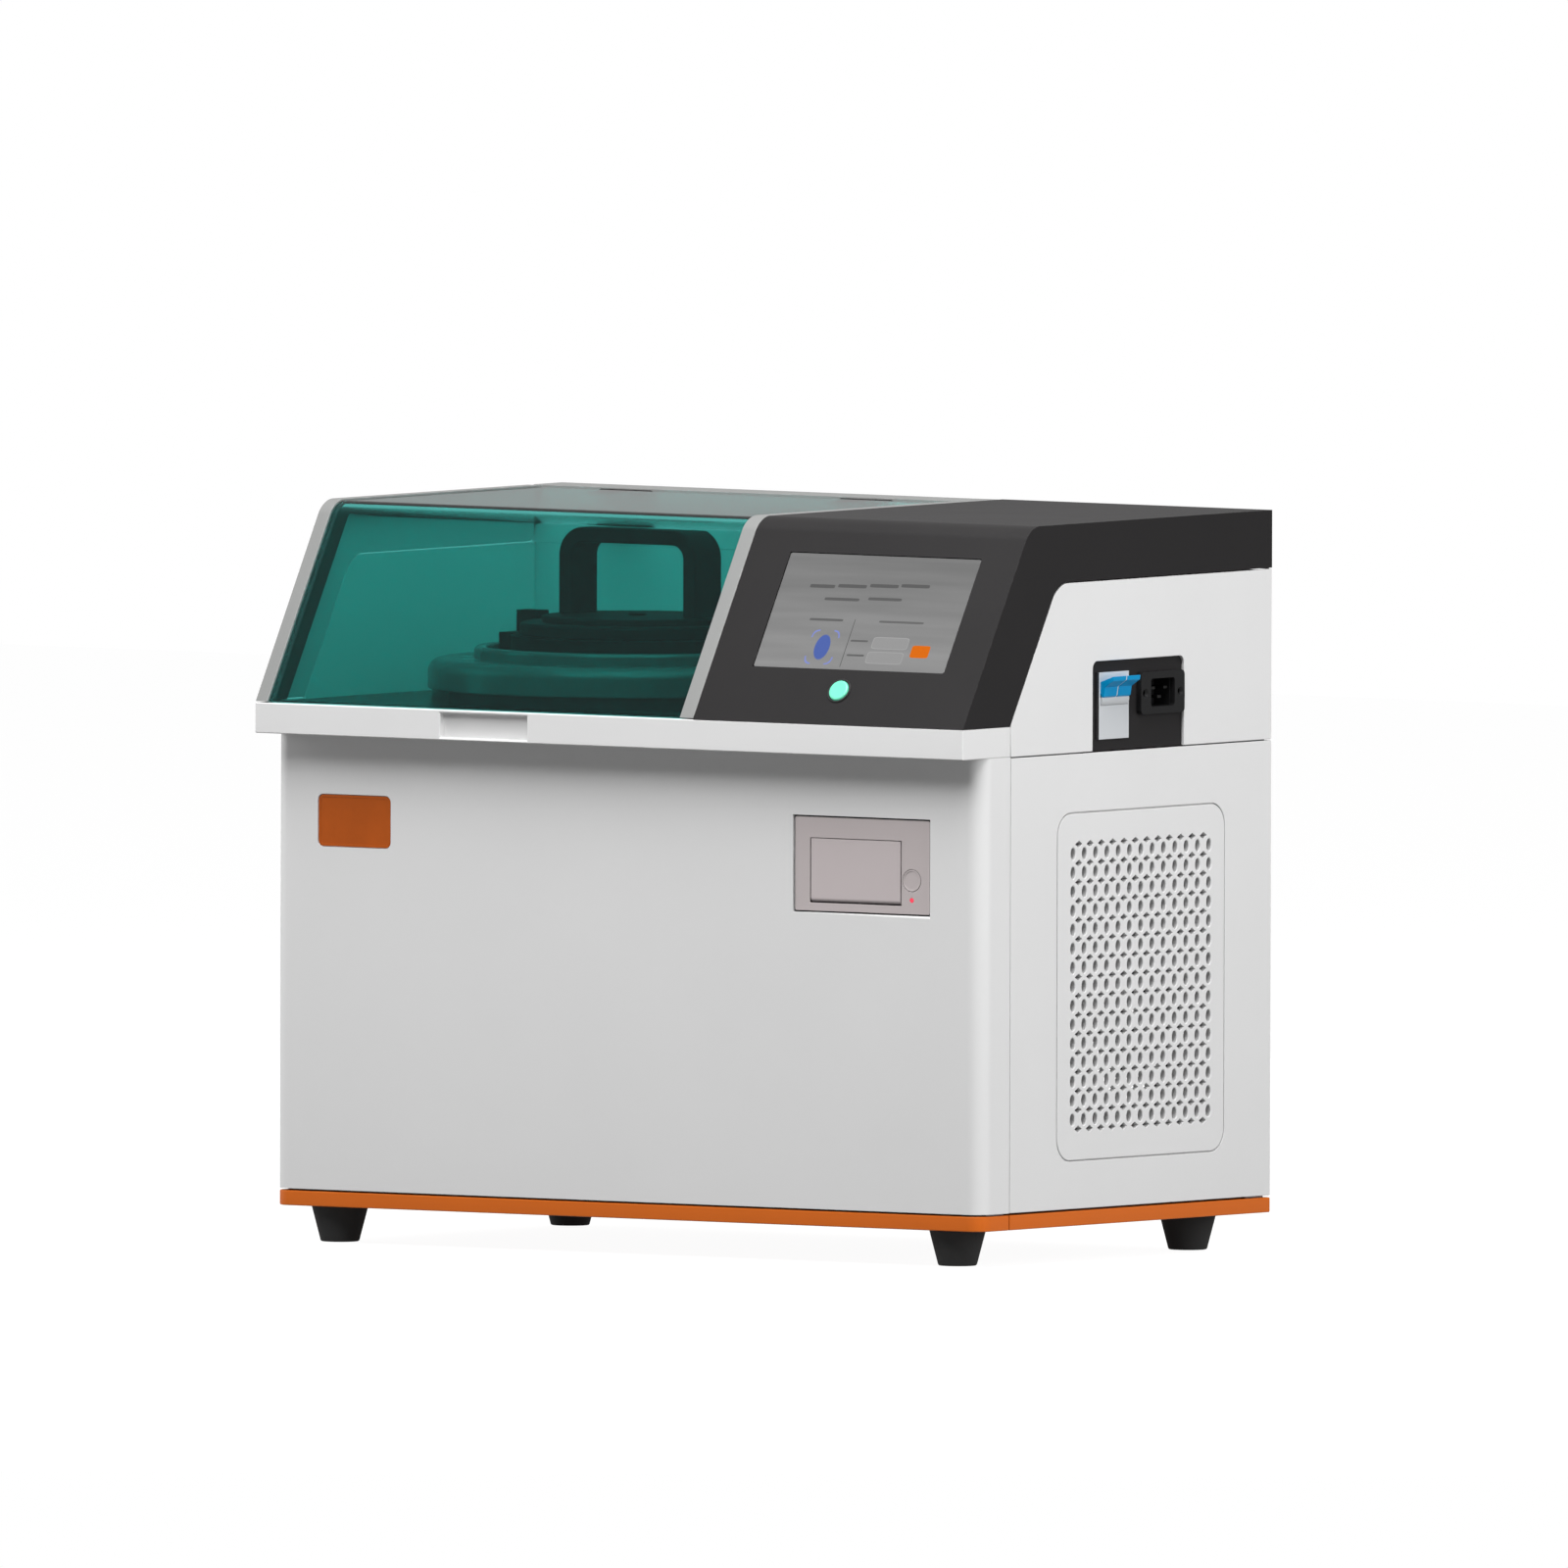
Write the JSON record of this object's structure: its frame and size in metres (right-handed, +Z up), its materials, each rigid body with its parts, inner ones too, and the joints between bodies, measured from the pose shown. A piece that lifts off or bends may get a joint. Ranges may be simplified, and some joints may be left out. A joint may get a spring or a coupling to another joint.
{
  "type": "fiber analyzer",
  "caption": "Bench instrument with a pressure vessel under a hinged tinted cover, and a control hood with touch screen beside it.",
  "frame": {"origin": "middle of the cabinet's footprint, on the bench", "axes": "+X to the right seen from the front, +Y to the rear, +Z up"},
  "size_m": [0.5822, 0.371, 0.49],
  "materials": {
    "rubber_black": "matt",
    "base_orange": "satin",
    "badge_orange": "gloss",
    "cabinet_white": "satin",
    "wall_light": "satin",
    "frame_grey": "satin",
    "hood_charcoal": "satin",
    "deck_dark": "gloss",
    "cover_teal": "gloss",
    "collar_light": "satin",
    "lid_dark": "satin",
    "steel_bright": "brushed",
    "zinc_steel": "matt",
    "heater_brass": "satin",
    "jacket_wool": "matt",
    "printer_grey": "satin",
    "printer_black": "matt",
    "lamp_red": "gloss",
    "screen_glass": "gloss",
    "button_mint": "gloss",
    "button_ring": "satin",
    "board_green": "satin",
    "breaker_silver": "satin",
    "lever_blue": "satin",
    "inlet_black": "matt",
    "motor_black": "satin",
    "pump_blue": "satin"
  },
  "bodies": {
    "cabinet": {"feet": "rubber_black", "base_plate": "base_orange", "base_front_trim": "base_orange", "chassis_frame": "zinc_steel", "front_cover": "cabinet_white", "side_cover_left": "cabinet_white", "side_cover_right": "cabinet_white", "vent_panel": "cabinet_white", "rear_cover": "cabinet_white", "badge_plate": "badge_orange", "printer_bezel": "printer_grey", "printer_housing": "printer_black", "printer_lamp": "lamp_red", "deck_rim": "cabinet_white", "deck_plate": "deck_dark", "side_wall_left": "cabinet_white", "side_wall_right": "cabinet_white", "divider_wall": "wall_light", "chamber_back_wall": "wall_light", "rear_upper_cover": "cabinet_white", "rear_beam": "frame_grey", "control_hood": "hood_charcoal", "touch_screen": "screen_glass", "screen_module": "zinc_steel", "start_button_body": "button_ring", "control_board": "board_green", "power_plate": "hood_charcoal", "circuit_breaker": "breaker_silver", "mains_inlet": "inlet_black", "power_supply": "zinc_steel", "hinge_brackets": "steel_bright", "vessel": "steel_bright", "band_heater": "heater_brass", "insulation_jacket": "jacket_wool", "collar_base_ring": "deck_dark", "vessel_collar": "collar_light", "locking_ring": "lid_dark", "bag_suspender": "steel_bright", "agitator_seal": "heater_brass", "agitator_motor": "motor_black", "motor_stand": "zinc_steel", "fan_housing": "printer_black", "reagent_pump": "pump_blue", "solenoid_valves": "heater_brass", "hose_ports": "heater_brass", "rear_screws": "steel_bright"},
    "cover": {"cover_glazing": "cover_teal", "cover_frames": "frame_grey", "cover_seals": "rubber_black", "hinge_arms": "steel_bright"},
    "vessel_lid_set": {"vessel_lid": "lid_dark", "lid_gasket": "rubber_black", "lid_handle": "lid_dark"},
    "agitator_shaft": {"agitator": "steel_bright"},
    "start_cap": {"start_button": "button_mint"},
    "lever": {"breaker_lever": "lever_blue"},
    "paper_door": {"printer_door": "printer_grey"},
    "roller": {"platen_roller": "rubber_black"},
    "feed_cap": {"printer_button": "printer_grey"},
    "fan": {"fan_rotor": "printer_black"}
  },
  "joints": [
    {"name": "cover_hinge", "type": "hinge", "parent": "cabinet", "child": "cover", "pos_m": [0, 0.1345, 0.484], "axis": [-1, 0, 0], "range_deg": [0, 80]},
    {"name": "lid_bayonet", "type": "hinge", "parent": "cabinet", "child": "vessel_lid_set", "pos_m": [-0.1015, 0, 0.4], "axis": [0, 0, 1], "range_deg": [0, 60]},
    {"name": "agitator_spin", "type": "hinge", "parent": "cabinet", "child": "agitator_shaft", "pos_m": [-0.1015, 0, 0.18], "axis": [0, 0, 1], "continuous": true},
    {"name": "start_press", "type": "slide", "parent": "cabinet", "child": "start_cap", "axis": [0, 0.8625, -0.506], "range_m": [0, 0.002], "stiffness_N_per_m": 400, "springref_m": -0.002},
    {"name": "breaker_toggle", "type": "hinge", "parent": "cabinet", "child": "lever", "pos_m": [0.2818, -0.0037, 0.3719], "axis": [0, 1, 0], "range_deg": [0, 76]},
    {"name": "paper_door_hinge", "type": "hinge", "parent": "cabinet", "child": "paper_door", "pos_m": [0.1843, -0.1515, 0.2419], "axis": [1, 0, 0], "range_deg": [0, 85]},
    {"name": "platen_spin", "type": "hinge", "parent": "paper_door", "child": "roller", "pos_m": [0.1843, -0.144, 0.2749], "axis": [1, 0, 0], "continuous": true},
    {"name": "feed_press", "type": "slide", "parent": "cabinet", "child": "feed_cap", "axis": [0, 1, 0], "range_m": [0, 0.0015], "stiffness_N_per_m": 300, "springref_m": -0.002},
    {"name": "fan_spin", "type": "hinge", "parent": "cabinet", "child": "fan", "pos_m": [0.18, 0.16, 0.13], "axis": [0, 1, 0], "continuous": true}
  ]
}
